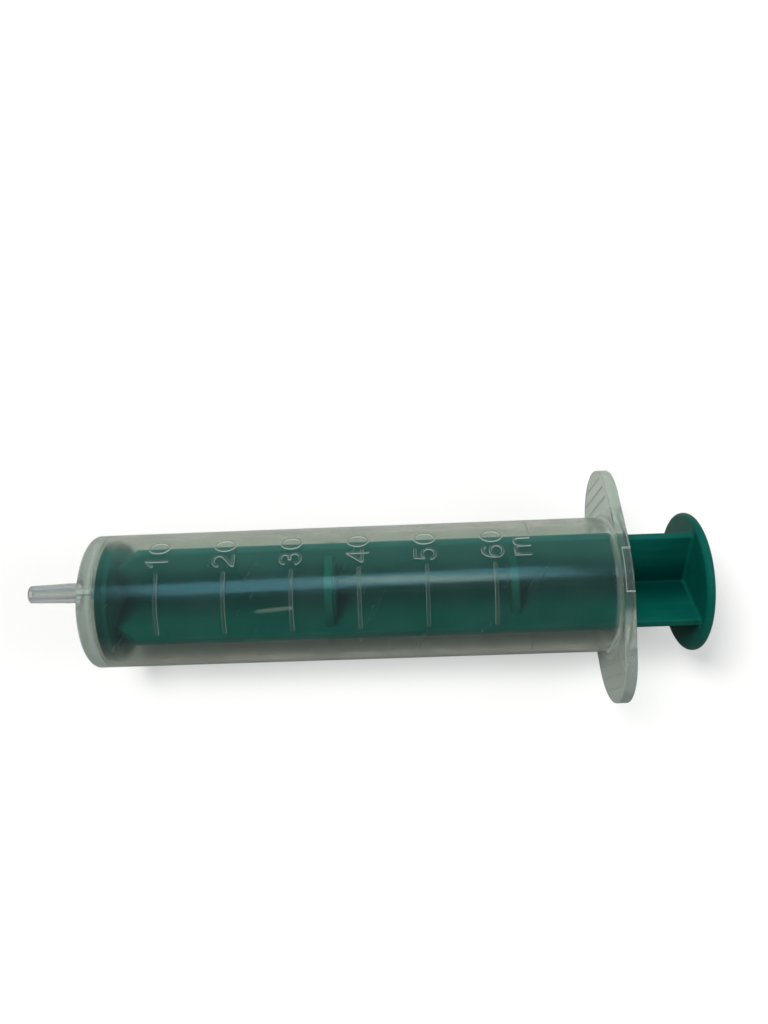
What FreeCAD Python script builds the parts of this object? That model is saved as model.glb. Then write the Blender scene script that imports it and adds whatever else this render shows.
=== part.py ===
import FreeCAD, Part
import math
import os

# A 60 ml syringe with an eccentric slip cone, in two mouldings.
# The barrel is one clear moulding: tube, end wall, cone, finger flange, scale ridges and stop bead.
# The plunger is the other: a disc with its own sealing lip, a cross-ribbed rod and a thumb disc.
# It lies on a table with the plunger pushed home, on the flange's narrow side.
# +X runs along the syringe towards the thumb disc, +Y along the finger wings, and +Z up.
# The scale and the cone are on the +Z side. The origin is on the table, under the middle of the length.
# While it is built, x is counted from the nose of the barrel and the axis of the tube is the X axis.

# Bore and scale
BORE_DIAMETER = 29.0
MARK_VOLUME = 10000.0
MARK_COUNT = 6
MARK_WIDTH = 1.0
MARK_HEIGHT = 0.2
RIDGE_SINK = 0.15
MARK_LOW_DEG = -41.5
MARK_HIGH_DEG = 10.5

# Barrel tube
BARREL_WALL = 1.25
BARREL_DRAFT = 0.15
END_WALL = 3.2
ZERO_SETBACK = 0.4
NOSE_ROUND = 0.8
BORE_CORNER_CHAMFER = 0.35
MOUTH_CHAMFER = 0.5
LAST_MARK_TO_BEAD = 8.7
BEAD_TO_FLANGE = 18.5
BEAD_HEIGHT = 0.2
BEAD_WIDTH = 0.8

# Finger flange
FLANGE_THICKNESS = 2.7
FLANGE_LAND = 1.4
WING_TIP_RADIUS = 12.4
WING_TIP_OFFSET = 15.4
FLANGE_EDGE_CHAMFER = 0.3
ROOT_FILLET = 1.0
GRIP_RIB_COUNT = 3
GRIP_RIB_PITCH = 2.9
GRIP_RIB_WIDTH = 0.9
GRIP_RIB_HEIGHT = 0.25
GRIP_RIB_TIP_GAP = 3.3
GRIP_RIB_END_GAP = 1.6
POCKET_LENGTH = 10.0
POCKET_DEPTH = 0.4
POCKET_FRONT_LAND = 0.7
POCKET_ROUND = 0.8

# Cone of the nozzle: 6 percent on the diameter
CONE_TIP_DIAMETER = 3.95
CONE_LENGTH = 8.1
CONE_TAPER = 0.06
CONE_EDGE_CHAMFER = 0.2
CONE_BASE_LENGTH = 3.65
CONE_BASE_STEP = 0.05
CONE_ROOT_FILLET = 0.6
CONE_BORE_DIAMETER = 1.8
CONE_AXIS_TO_BORE_WALL = 3.1

# Plunger head
SEAL_GAP = 0.05
HOME_GAP = 0.5
HEAD_EDGE = 0.4
LIP_LAND = 1.45
LIP_BACK_LENGTH = 0.85
LIP_BACK_DROP = 0.7
HEAD_EDGE_DROP = 0.8

# Plunger rod
RIB_THICKNESS = 1.9
RIB_TO_BEAD_GAP = 0.15
RIB_TURN_DEG = 37.8
RIB_CORNER_ROUND = 0.6
RIB_EDGE_CHAMFER = 0.25
RIB_START_DROP = 4.5
RIB_START_LENGTH = 5.8
WEB_THICKNESS = 1.8
WEB_PLACES = (53.0, 94.8)
WEB_DROPS = (2.8, 3.9)
HOME_EXPOSED_ROD = 15.8

# Thumb disc
THUMB_OVERHANG = 2.1
THUMB_THICKNESS = 2.0
THUMB_EDGE_ROUND = 0.9
THUMB_ROOT_FILLET = 0.8

# Building aids: how far cutters run past a face, how far joined solids sink in, and steps in a turned round
FULL_TURN = 360.0
OVERCUT = 1.0
EMBED = 0.5
NEARNESS = 1e-6
ROUND_STEPS = 4

# Worked out from the sizes above
BORE_R = BORE_DIAMETER / 2.0
MARK_PITCH = MARK_VOLUME / (math.pi * BORE_R ** 2)
ZERO_X = END_WALL - ZERO_SETBACK
LAST_MARK_X = ZERO_X + MARK_COUNT * MARK_PITCH
BEAD_X = LAST_MARK_X + LAST_MARK_TO_BEAD
FLANGE_X = BEAD_X + BEAD_TO_FLANGE
BARREL_END_X = FLANGE_X + FLANGE_THICKNESS
NOSE_R = BORE_R + BARREL_WALL
ROOT_R = NOSE_R + BARREL_DRAFT
FLANGE_R = ROOT_R + FLANGE_LAND
CONE_TIP_R = CONE_TIP_DIAMETER / 2.0
CONE_WIDE_R = CONE_TIP_R + CONE_LENGTH * CONE_TAPER / 2.0
CONE_BASE_R = CONE_WIDE_R + CONE_BASE_STEP
CONE_BORE_R = CONE_BORE_DIAMETER / 2.0
CONE_TIP_X = -CONE_BASE_LENGTH - CONE_LENGTH
CONE_OFFSET = BORE_R - CONE_AXIS_TO_BORE_WALL
HEAD_X = END_WALL + HOME_GAP
LIP_R = BORE_R - SEAL_GAP
LIP_X = HEAD_X + HEAD_EDGE
LIP_END_X = LIP_X + LIP_LAND
HEAD_BACK_X = LIP_END_X + LIP_BACK_LENGTH
RIB_R = BORE_R - BEAD_HEIGHT - RIB_TO_BEAD_GAP
THUMB_X = BARREL_END_X + HOME_EXPOSED_ROD
THUMB_R = RIB_R + THUMB_OVERHANG
PLUNGER_END_X = THUMB_X + THUMB_THICKNESS
MIDDLE_X = (CONE_TIP_X + PLUNGER_END_X) / 2.0

ORIGIN = FreeCAD.Vector(0.0, 0.0, 0.0)
ALONG = FreeCAD.Vector(1.0, 0.0, 0.0)


# Outlines and turned solids

def spot(x, radius):
    """A point of a turned outline, at a place along the axis and a distance from it."""
    return FreeCAD.Vector(x, 0.0, radius)


def wire_through(*runs):
    """A closed wire of straight runs between two points and arcs through three."""
    edges = []
    for run in runs:
        if len(run) == 3:
            edges.append(Part.Arc(*run).toShape())
        else:
            edges.append(Part.LineSegment(*run).toShape())
    return Part.Wire(edges)


def turned(points, first_deg=0.0, sweep_deg=FULL_TURN):
    """A solid turned about the X axis from a closed outline of (x, radius) corners."""
    corners = [spot(x, radius) for x, radius in points]
    face = Part.Face(Part.makePolygon(corners + corners[:1]))
    solid = face.revolve(ORIGIN, ALONG, sweep_deg)
    solid.rotate(ORIGIN, ALONG, first_deg)
    return solid


def disc(x, length, radius):
    """A plain disc or rod about the X axis."""
    return Part.makeCylinder(radius, length, spot(x, 0.0), ALONG)


def round_corners(centre_x, centre_r, size, first_deg, last_deg):
    """Corners in short even steps along a round of a turned outline, from one angle to another."""
    corners = []
    for step in range(ROUND_STEPS + 1):
        angle = math.radians(first_deg + (last_deg - first_deg) * step / ROUND_STEPS)
        corners.append((centre_x + size * math.cos(angle), centre_r + size * math.sin(angle)))
    return corners


def hollow_corner(x, radius, size):
    """The ring that fills the inside corner between a tube and a face at x with a round."""
    hollow = round_corners(x - size, radius + size, size, -90.0, 0.0)
    return turned([(x - size, radius - EMBED)] + hollow + [(x, radius - EMBED)])


def circle_edges(shape, x, radius):
    """The edges of a shape that are circles about the X axis with a given place and radius."""
    found = []
    for edge in shape.Edges:
        curve = edge.Curve
        if not isinstance(curve, Part.Circle):
            continue
        near_place = abs(curve.Center.x - x) < NEARNESS
        near_radius = abs(curve.Radius - radius) < NEARNESS
        if near_place and near_radius:
            found.append(edge)
    return found


def rounded(shape, x, radius, size):
    """A shape with its circular edges at a place and radius rounded."""
    return shape.makeFillet(size, circle_edges(shape, x, radius))


# Barrel

def tube_radius(x):
    """Outside radius of the tube, which grows a little from the nose to the flange."""
    return NOSE_R + BARREL_DRAFT * x / FLANGE_X


def tube_body():
    """The drafted outside of the tube, solid, with its nose edge rounded."""
    corners = [(0.0, 0.0), (0.0, NOSE_R), (FLANGE_X, ROOT_R), (FLANGE_X, 0.0)]
    return rounded(turned(corners), 0.0, NOSE_R, NOSE_ROUND)


def tangent_points(side, wing):
    """Where the straight edge on one side of one wing leaves the middle round and meets the tip round."""
    lean = math.asin((FLANGE_R - WING_TIP_RADIUS) / WING_TIP_OFFSET)
    direction = FreeCAD.Vector(0.0, wing * math.sin(lean), side * math.cos(lean))
    tip_centre = FreeCAD.Vector(0.0, wing * WING_TIP_OFFSET, 0.0)
    return direction * FLANGE_R, tip_centre + direction * WING_TIP_RADIUS


def flange_outline():
    """The closed outline of the flange: a middle round, two smaller tip rounds and their tangents."""
    top = FreeCAD.Vector(0.0, 0.0, FLANGE_R)
    right_tip = FreeCAD.Vector(0.0, WING_TIP_OFFSET + WING_TIP_RADIUS, 0.0)
    upper_right, upper_right_tip = tangent_points(1.0, 1.0)
    upper_left, upper_left_tip = tangent_points(1.0, -1.0)
    lower_right, lower_right_tip = tangent_points(-1.0, 1.0)
    lower_left, lower_left_tip = tangent_points(-1.0, -1.0)
    return wire_through(
        (upper_left, top, upper_right),
        (upper_right, upper_right_tip),
        (upper_right_tip, right_tip, lower_right_tip),
        (lower_right_tip, lower_right),
        (lower_right, top * -1.0, lower_left),
        (lower_left, lower_left_tip),
        (lower_left_tip, right_tip * -1.0, upper_left_tip),
        (upper_left_tip, upper_left),
    )


def flange_plate():
    """The flange as a plate with its rim edges broken."""
    plate = Part.Face(flange_outline()).extrude(ALONG * FLANGE_THICKNESS)
    plate.translate(ALONG * FLANGE_X)
    rim_edges = [edge for edge in plate.Edges if edge.BoundBox.XLength < FLANGE_EDGE_CHAMFER]
    return plate.makeChamfer(FLANGE_EDGE_CHAMFER, rim_edges)


def grip_rib(place):
    """One low straight rib across the front face of a wing, at a distance from the axis."""
    reach = place - WING_TIP_OFFSET
    half_length = math.sqrt(WING_TIP_RADIUS ** 2 - reach ** 2) - GRIP_RIB_END_GAP
    half_width = GRIP_RIB_WIDTH / 2.0
    near_foot = FreeCAD.Vector(FLANGE_X + RIDGE_SINK, place - half_width, -half_length)
    crest = FreeCAD.Vector(FLANGE_X - GRIP_RIB_HEIGHT, place, -half_length)
    far_foot = FreeCAD.Vector(FLANGE_X + RIDGE_SINK, place + half_width, -half_length)
    section = Part.Face(wire_through((near_foot, crest, far_foot), (far_foot, near_foot)))
    return section.extrude(FreeCAD.Vector(0.0, 0.0, 2.0 * half_length))


def grip_ribs():
    """The low ribs on both wings, set in from the tips."""
    outermost = WING_TIP_OFFSET + WING_TIP_RADIUS - GRIP_RIB_TIP_GAP
    ribs = []
    for number in range(GRIP_RIB_COUNT):
        rib = grip_rib(outermost - number * GRIP_RIB_PITCH)
        ribs.append(rib)
        ribs.append(rib.mirror(ORIGIN, FreeCAD.Vector(0.0, 1.0, 0.0)))
    return ribs


def rim_pocket():
    """The cutter for the shallow pocket in the top of the flange's rim, open to the back."""
    floor_r = FLANGE_R - POCKET_DEPTH
    front_x = FLANGE_X + POCKET_FRONT_LAND
    back_x = BARREL_END_X + OVERCUT
    half_deg = math.degrees(POCKET_LENGTH / 2.0 / FLANGE_R)
    over_r = FLANGE_R + OVERCUT
    corners = [(front_x, floor_r), (front_x, over_r), (back_x, over_r), (back_x, floor_r)]
    cutter = turned(corners, -half_deg, 2.0 * half_deg)
    front_edges = [edge for edge in cutter.Edges if edge.BoundBox.XMax < front_x + NEARNESS]
    standing = [edge for edge in front_edges if isinstance(edge.Curve, Part.Line)]
    return cutter.makeFillet(POCKET_ROUND, standing)


def scale_ridge(number):
    """One raised line of the scale: a low rounded ridge part of the way round, its feet sunk in the wall."""
    x = ZERO_X + number * MARK_PITCH
    foot_r = tube_radius(x) - RIDGE_SINK
    near_foot = spot(x - MARK_WIDTH / 2.0, foot_r)
    crest = spot(x, tube_radius(x) + MARK_HEIGHT)
    far_foot = spot(x + MARK_WIDTH / 2.0, foot_r)
    section = Part.Face(wire_through((near_foot, crest, far_foot), (far_foot, near_foot)))
    ridge = section.revolve(ORIGIN, ALONG, MARK_HIGH_DEG - MARK_LOW_DEG)
    ridge.rotate(ORIGIN, ALONG, -MARK_HIGH_DEG)
    return ridge


def bore_space():
    """The space inside the tube, with a filled corner at the end wall, a stop bead and a chamfered mouth."""
    half_bead = BEAD_WIDTH / 2.0
    return turned([
        (END_WALL, 0.0),
        (END_WALL, BORE_R - BORE_CORNER_CHAMFER),
        (END_WALL + BORE_CORNER_CHAMFER, BORE_R),
        (BEAD_X - half_bead, BORE_R),
        (BEAD_X, BORE_R - BEAD_HEIGHT),
        (BEAD_X + half_bead, BORE_R),
        (BARREL_END_X - MOUTH_CHAMFER, BORE_R),
        (BARREL_END_X, BORE_R + MOUTH_CHAMFER),
        (BARREL_END_X + OVERCUT, BORE_R + MOUTH_CHAMFER),
        (BARREL_END_X + OVERCUT, 0.0),
    ])


def cone_body():
    """The nozzle about the X axis: tapered cone, plain base and the round at its root."""
    shoulder_x = CONE_TIP_X + CONE_LENGTH
    outside = turned([
        (CONE_TIP_X, 0.0),
        (CONE_TIP_X, CONE_TIP_R - CONE_EDGE_CHAMFER),
        (CONE_TIP_X + CONE_EDGE_CHAMFER, CONE_TIP_R),
        (shoulder_x, CONE_WIDE_R),
        (shoulder_x, CONE_BASE_R),
        (END_WALL / 2.0, CONE_BASE_R),
        (END_WALL / 2.0, 0.0),
    ])
    return outside.fuse(hollow_corner(0.0, CONE_BASE_R, CONE_ROOT_FILLET))


def barrel():
    """The whole barrel moulding."""
    side_shift = FreeCAD.Vector(0.0, 0.0, CONE_OFFSET)
    cone = cone_body()
    cone.translate(side_shift)
    cone_bore = disc(CONE_TIP_X - OVERCUT, END_WALL + OVERCUT - CONE_TIP_X + OVERCUT, CONE_BORE_R)
    cone_bore.translate(side_shift)
    outside = tube_body().multiFuse([flange_plate(), hollow_corner(FLANGE_X, ROOT_R, ROOT_FILLET), cone])
    outside = outside.multiFuse([scale_ridge(number + 1) for number in range(MARK_COUNT)])
    outside = outside.multiFuse(grip_ribs())
    return outside.cut(bore_space()).cut(cone_bore).cut(rim_pocket()).removeSplitter()


# Plunger

def head():
    """The disc at the front of the plunger, with its sealing lip."""
    return turned([
        (HEAD_X, 0.0),
        (HEAD_X, LIP_R - HEAD_EDGE_DROP),
        (LIP_X, LIP_R),
        (LIP_END_X, LIP_R),
        (HEAD_BACK_X, LIP_R - LIP_BACK_DROP),
        (HEAD_BACK_X, 0.0),
    ])


def cross_of_plates():
    """Two crossed plates as long as the rod, with their four inside corners rounded."""
    length = THUMB_X - HEAD_BACK_X + 2.0 * EMBED
    half = RIB_THICKNESS / 2.0
    corner = FreeCAD.Vector(HEAD_BACK_X - EMBED, -half, -BORE_R)
    upright = Part.makeBox(length, RIB_THICKNESS, 2.0 * BORE_R, corner)
    level = upright.copy()
    level.rotate(ORIGIN, ALONG, FULL_TURN / 4.0)
    cross = upright.fuse(level)
    long_edges = [edge for edge in cross.Edges if edge.BoundBox.XLength > length / 2.0]
    inside = [edge for edge in long_edges if edge.CenterOfMass.distanceToLine(ORIGIN, ALONG) < RIB_THICKNESS]
    return cross.makeFillet(RIB_CORNER_ROUND, inside)


def rod_envelope():
    """The turned space that the ribs fill: it opens behind the head and then keeps one radius."""
    return turned([
        (HEAD_BACK_X - EMBED, 0.0),
        (HEAD_BACK_X - EMBED, RIB_R - RIB_START_DROP),
        (HEAD_BACK_X, RIB_R - RIB_START_DROP),
        (HEAD_BACK_X + RIB_START_LENGTH, RIB_R),
        (THUMB_X + EMBED, RIB_R),
        (THUMB_X + EMBED, 0.0),
    ])


def rod():
    """The four ribs in one piece, with their long outer edges broken."""
    ribs = cross_of_plates().common(rod_envelope())
    outer = []
    for edge in ribs.Edges:
        reach = edge.CenterOfMass.distanceToLine(ORIGIN, ALONG)
        if isinstance(edge.Curve, Part.Line) and abs(reach - RIB_R) < NEARNESS:
            outer.append(edge)
    return ribs.makeChamfer(RIB_EDGE_CHAMFER, outer)


def rod_webs():
    """The round webs that tie the four ribs together along the rod."""
    return [disc(HEAD_X + place - WEB_THICKNESS / 2.0, WEB_THICKNESS, RIB_R - drop)
            for place, drop in zip(WEB_PLACES, WEB_DROPS)]


def thumb_disc():
    """The thumb disc with both rim edges rounded."""
    round_r = THUMB_R - THUMB_EDGE_ROUND
    front_edge = round_corners(THUMB_X + THUMB_EDGE_ROUND, round_r, THUMB_EDGE_ROUND, 180.0, 90.0)
    back_edge = round_corners(PLUNGER_END_X - THUMB_EDGE_ROUND, round_r, THUMB_EDGE_ROUND, 90.0, 0.0)
    return turned([(THUMB_X, 0.0)] + front_edge + back_edge + [(PLUNGER_END_X, 0.0)])


def thumb_root_edges(shape):
    """The edges where the ribs stand on the thumb disc."""
    on_disc = [edge for edge in shape.Edges if abs(edge.CenterOfMass.x - THUMB_X) < NEARNESS]
    flat = [edge for edge in on_disc if edge.BoundBox.XLength < NEARNESS]
    return [edge for edge in flat if edge.BoundBox.DiagonalLength < THUMB_R]


def plunger():
    """The whole plunger moulding."""
    whole = rod().multiFuse([head(), thumb_disc()] + rod_webs()).removeSplitter()
    whole = whole.makeFillet(THUMB_ROOT_FILLET, thumb_root_edges(whole))
    whole.rotate(ORIGIN, ALONG, -RIB_TURN_DEG)
    return whole


# Placing and writing

def laid_down(shape):
    """A piece moved from the building frame to the frame of the lying syringe."""
    placed = shape.copy()
    placed.translate(FreeCAD.Vector(-MIDDLE_X, 0.0, FLANGE_R))
    return placed


def only_solid(shape):
    """The one solid of a shape, which must be sound."""
    if len(shape.Solids) != 1 or not shape.isValid():
        raise ValueError("a piece came out as %d solids" % len(shape.Solids))
    return shape.Solids[0]


def main():
    """Build both mouldings and write each to its own file."""
    os.makedirs("parts", exist_ok=True)
    for name, build in (("barrel", barrel), ("plunger", plunger)):
        solid = only_solid(laid_down(build()))
        solid.exportStep("parts/%s.step" % name)
        print(name, "volume %.1f mm3" % solid.Volume)


main()
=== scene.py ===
import logging
import math
from dataclasses import dataclass, field, replace
from enum import Enum
from typing import Callable, Iterable, Mapping, Optional, Sequence, Union

import bmesh
import bpy
from mathutils import Matrix, Quaternion, Vector


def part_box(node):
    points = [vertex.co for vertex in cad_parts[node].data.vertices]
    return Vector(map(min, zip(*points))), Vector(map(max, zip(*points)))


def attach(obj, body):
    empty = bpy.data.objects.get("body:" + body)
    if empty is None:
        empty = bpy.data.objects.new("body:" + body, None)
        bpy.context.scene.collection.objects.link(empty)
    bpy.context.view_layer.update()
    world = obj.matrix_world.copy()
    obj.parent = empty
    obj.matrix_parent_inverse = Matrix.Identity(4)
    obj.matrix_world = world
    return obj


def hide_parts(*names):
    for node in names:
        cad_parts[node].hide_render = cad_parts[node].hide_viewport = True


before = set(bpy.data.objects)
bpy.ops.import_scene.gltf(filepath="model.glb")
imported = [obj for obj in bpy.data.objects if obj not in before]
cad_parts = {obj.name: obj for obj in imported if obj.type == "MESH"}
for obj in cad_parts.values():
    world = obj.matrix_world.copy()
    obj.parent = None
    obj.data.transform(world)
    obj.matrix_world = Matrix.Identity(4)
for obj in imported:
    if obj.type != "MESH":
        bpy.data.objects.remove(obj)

# The looks of a 60 ml slip tip syringe: a hazy clear barrel, its raised scale and a green plunger.
# Sizes are in millimetres and angles in degrees; meshes are made in metres in the part's own frame.
# The axis of the tube lies along X. An angle round it is counted from straight up (+Z) towards +Y.

LOG = logging.getLogger("syringe")
MM = 0.001
FULL_TURN = 360.0

Material = bpy.types.Material
Piece = bpy.types.Object
Socket = bpy.types.NodeSocket
Corner = tuple[float, float]
Face = tuple[int, ...]
Rgb = tuple[float, float, float]
Shares = tuple[float, ...]
Step = tuple[float, float]
Stretch = tuple[float, float, float, float]
Surface = Callable[[float, float, float], Vector]


class Body(Enum):
    """The two moving bodies of the syringe."""

    BARREL = "barrel"
    PLUNGER = "plunger"


class Slot(Enum):
    """The two plastics that the pieces are made of."""

    CLEAR = "clear_barrel"
    GREEN = "green_plunger"


# Shader graphs

class Value:
    """One number of a shader graph. Each operator that it meets adds a Math node."""

    def __init__(self, graph: "ShaderGraph", socket: Socket) -> None:
        """Keep the graph and the socket that gives the number."""
        self.graph = graph
        self.socket = socket

    def __add__(self, other: "Operand") -> "Value":
        """self + other."""
        return self.graph.math("ADD", self, other)

    def __radd__(self, other: "Operand") -> "Value":
        """other + self."""
        return self.graph.math("ADD", other, self)

    def __sub__(self, other: "Operand") -> "Value":
        """self - other."""
        return self.graph.math("SUBTRACT", self, other)

    def __rsub__(self, other: "Operand") -> "Value":
        """other - self."""
        return self.graph.math("SUBTRACT", other, self)

    def __mul__(self, other: "Operand") -> "Value":
        """self * other."""
        return self.graph.math("MULTIPLY", self, other)

    def __abs__(self) -> "Value":
        """The number without its sign."""
        return self.graph.math("ABSOLUTE", self, 0.0)

    def ramp(self, low: float, high: float) -> "Value":
        """A smooth step of the number.

        Args:
            low: Where the step begins, with the value 0.
            high: Where the step ends, with the value 1. It may be below low.

        Returns:
            The step's height, from 0 to 1.
        """
        if high < low:
            return 1.0 - self.ramp(high, low)
        node = self.graph.node(
            "ShaderNodeMapRange",
            {"Value": self, "From Min": low, "From Max": high},
            {"interpolation_type": "SMOOTHSTEP", "clamp": True},
        )
        return Value(self.graph, node.outputs["Result"])

    def band(self, stretch: Stretch) -> "Value":
        """1 on a stretch and 0 off it, with a smooth step at each end."""
        return self.ramp(stretch[0], stretch[1]) * self.ramp(stretch[3], stretch[2])

    def larger(self, other: "Operand") -> "Value":
        """The larger of two numbers."""
        return self.graph.math("MAXIMUM", self, other)


Operand = Union[Value, float]
Content = Union[Value, Socket, float, Sequence[float]]


class ShaderGraph:
    """The node tree of one material or world, with one way to add any node."""

    def __init__(self, tree: bpy.types.NodeTree) -> None:
        """Start with an empty tree."""
        self.tree = tree
        self.tree.nodes.clear()

    def node(
        self,
        kind: str,
        sockets: Optional[Mapping[str, Content]] = None,
        settings: Optional[Mapping[str, object]] = None,
    ) -> bpy.types.Node:
        """Add a node.

        Args:
            kind: The node's type.
            sockets: The number, colour or link of each input, by its identifier or name.
            settings: What is set on the node itself, before its sockets.

        Returns:
            The new node.
        """
        made = self.tree.nodes.new(kind)
        for name, setting in (settings or {}).items():
            setattr(made, name, setting)
        for name, content in (sockets or {}).items():
            self.feed(self.input_of(made, name), content)
        return made

    @staticmethod
    def input_of(node: bpy.types.Node, name: str) -> Socket:
        """The input with an identifier or, if none has it, with a name."""
        by_identifier = {socket.identifier: socket for socket in node.inputs}
        return by_identifier.get(name) or node.inputs[name]

    def feed(self, socket: Socket, content: Content) -> None:
        """Link or set one input.

        Args:
            socket: The input.
            content: A value or socket to link, or a plain number or colour to set.
        """
        if isinstance(content, Value):
            self.tree.links.new(content.socket, socket)
        elif isinstance(content, Socket):
            self.tree.links.new(content, socket)
        else:
            socket.default_value = content

    def math(self, operation: str, first: Operand, second: Operand) -> Value:
        """The result of a Math node on two operands."""
        node = self.node("ShaderNodeMath", {"Value": first, "Value_001": second}, {"operation": operation})
        return Value(self, node.outputs["Value"])

    def place(self) -> tuple[Socket, Value, Value, Value]:
        """Where a point of the piece lies in its own frame.

        Returns:
            The place as a vector in millimetres, and its three numbers.
        """
        object_place = self.node("ShaderNodeTexCoord").outputs["Object"]
        scaled = self.node(
            "ShaderNodeVectorMath", {"Vector": object_place, "Scale": 1.0 / MM}, {"operation": "SCALE"}
        ).outputs["Vector"]
        parts = self.node("ShaderNodeSeparateXYZ", {"Vector": scaled}).outputs
        return scaled, Value(self, parts["X"]), Value(self, parts["Y"]), Value(self, parts["Z"])

    def vector(self, x: Operand, y: Operand, z: Operand = 0.0) -> Socket:
        """Three numbers as one vector."""
        return self.node("ShaderNodeCombineXYZ", {"X": x, "Y": y, "Z": z}).outputs["Vector"]

    def length(self, vector: Socket) -> Value:
        """How long a vector is."""
        node = self.node("ShaderNodeVectorMath", {"Vector": vector}, {"operation": "LENGTH"})
        return Value(self, node.outputs["Value"])

    def noise(self, place: Socket, scale: float, detail: float = 2.0) -> Value:
        """Smooth noise from 0 to 1 at a scale in waves per millimetre."""
        node = self.node("ShaderNodeTexNoise", {"Vector": place, "Scale": scale, "Detail": detail})
        return Value(self, node.outputs["Fac"])

    def specks(self, place: Socket, scale: float, size: float, share: float) -> Value:
        """Small round specks.

        Args:
            place: The vector that they are laid out on.
            scale: Cells per millimetre, with at most one speck in each.
            size: A speck's radius as a share of its cell.
            share: The share of cells that have one.

        Returns:
            1 in a speck and 0 elsewhere.
        """
        node = self.node("ShaderNodeTexVoronoi", {"Vector": place, "Scale": scale})
        chosen = self.node("ShaderNodeSeparateColor", {"Color": node.outputs["Color"]}).outputs["Red"]
        inside = Value(self, node.outputs["Distance"]).ramp(size, size / 2.0)
        return inside * self.math("LESS_THAN", Value(self, chosen), share)

    def mixed_color(self, factor: Operand, first: Content, second: Content) -> Socket:
        """A colour between two others.

        Args:
            factor: 0 for the first, 1 for the second.
            first: A colour or a link.
            second: Another one.

        Returns:
            The mixed colour.
        """
        node = self.node(
            "ShaderNodeMix",
            {"Factor_Float": factor, "A_Color": self.opaque(first), "B_Color": self.opaque(second)},
            {"data_type": "RGBA"},
        )
        return next(socket for socket in node.outputs if socket.identifier == "Result_Color")

    @staticmethod
    def opaque(content: Content) -> Content:
        """A plain colour of three numbers with full alpha, or a link as it is."""
        return (*content, 1.0) if isinstance(content, tuple) else content

    def bump(
        self, height: Value, depth: float, under: Optional[Socket] = None
    ) -> Socket:
        """Surface normals from a height.

        Args:
            height: The relief, from 0 to 1.
            depth: How deep a height of 1 is, in millimetres.
            under: Normals that the relief is laid over.

        Returns:
            The normals.
        """
        sockets = {"Height": height, "Distance": depth * MM}
        if under is not None:
            sockets["Normal"] = under
        return self.node("ShaderNodeBump", sockets).outputs["Normal"]

    def principled(self, sockets: Mapping[str, Content]) -> Socket:
        """The general surface shader, with some of its sockets fed."""
        return self.node("ShaderNodeBsdfPrincipled", sockets).outputs["BSDF"]

    def mixed_shader(
        self, factor: Operand, first: Socket, second: Socket
    ) -> Socket:
        """A shader between two others."""
        node = self.node("ShaderNodeMixShader", {"Fac": factor, "Shader": first, "Shader_001": second})
        return node.outputs["Shader"]

    def show(self, shader: Socket, output: str = "ShaderNodeOutputMaterial") -> None:
        """Send a shader to the output node."""
        self.node(output, {"Surface": shader})


def new_graph(name: str) -> tuple[Material, ShaderGraph]:
    """Start a material.

    Args:
        name: The material's name.

    Returns:
        The material and its empty graph.
    """
    material = bpy.data.materials.new(name)
    material.use_nodes = True
    return material, ShaderGraph(material.node_tree)


# Finishes

@dataclass(frozen=True)
class BarrelRegions:
    """Where the regions of the barrel's skin lie, in millimetres.

    A stretch says where a region begins, is full, is last full, and ends. A step says where it
    begins and is full. Each is counted as the comment beside it says.
    """

    end_wall: Stretch = (-0.6, 0.0, 2.4, 3.2)  # along the axis, from the nose
    end_ring: Stretch = (2.3, 2.7, 2.9, 3.3)  # the same
    nozzle: Step = (0.0, -0.6)  # the same
    cone_root: Step = (4.6, 2.6)  # from the cone's own axis
    flange_root: Stretch = (-1.4, -0.5, 0.0, 0.2)  # along the axis, from the flange's front
    root_reach: Stretch = (15.0, 15.8, 17.2, 18.2)  # from the tube's axis
    flange: Step = (-0.3, 0.0)  # from the flange's front
    wing: Step = (11.5, 16.0)  # across the flange
    rim: Step = (0.1, 0.4)  # from the flange's front
    rim_sides: Stretch = (7.5, 10.0, 12.0, 15.0)  # across the flange
    drawn: Step = (-0.5, 0.5)  # along the axis, from the nose
    pocket_edge: float = 0.73  # from the flange's front
    pocket_edge_line: Step = (0.16, 0.06)  # from that edge
    pocket_ends: Step = (-0.1, 0.0)  # the same
    pocket_turn: float = 0.289  # radians round the tube's axis
    pocket_turns: Step = (0.299, 0.289)  # the same
    pocket_turn_line: Step = (0.010, 0.004)  # radians from that turn
    pocket_reach: Step = (16.2, 16.6)  # from the tube's axis


@dataclass(frozen=True)
class Milkiness:
    """The share of milky light that each mark and region scatters back, from 0 to 1. The pocket edge, nozzle
    side and stroke side shares are painted highlights.
    """

    everywhere: float = 0.009
    clouds: float = 0.004
    specks: float = 0.08
    scratches: float = 0.012
    scuff: float = 0.22
    end_wall: float = 0.07
    end_ring: float = 0.16
    cone_root: float = 0.20
    flange_root: float = 0.12
    wing: float = 0.33
    wing_rim_loss: float = 0.45
    rim: float = 0.03
    rim_sides: float = 0.14
    pocket_edge_highlight: float = 0.50
    nozzle: float = 0.07
    nozzle_side_highlight: float = 0.42
    stroke_side_highlight: float = 0.0


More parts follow.
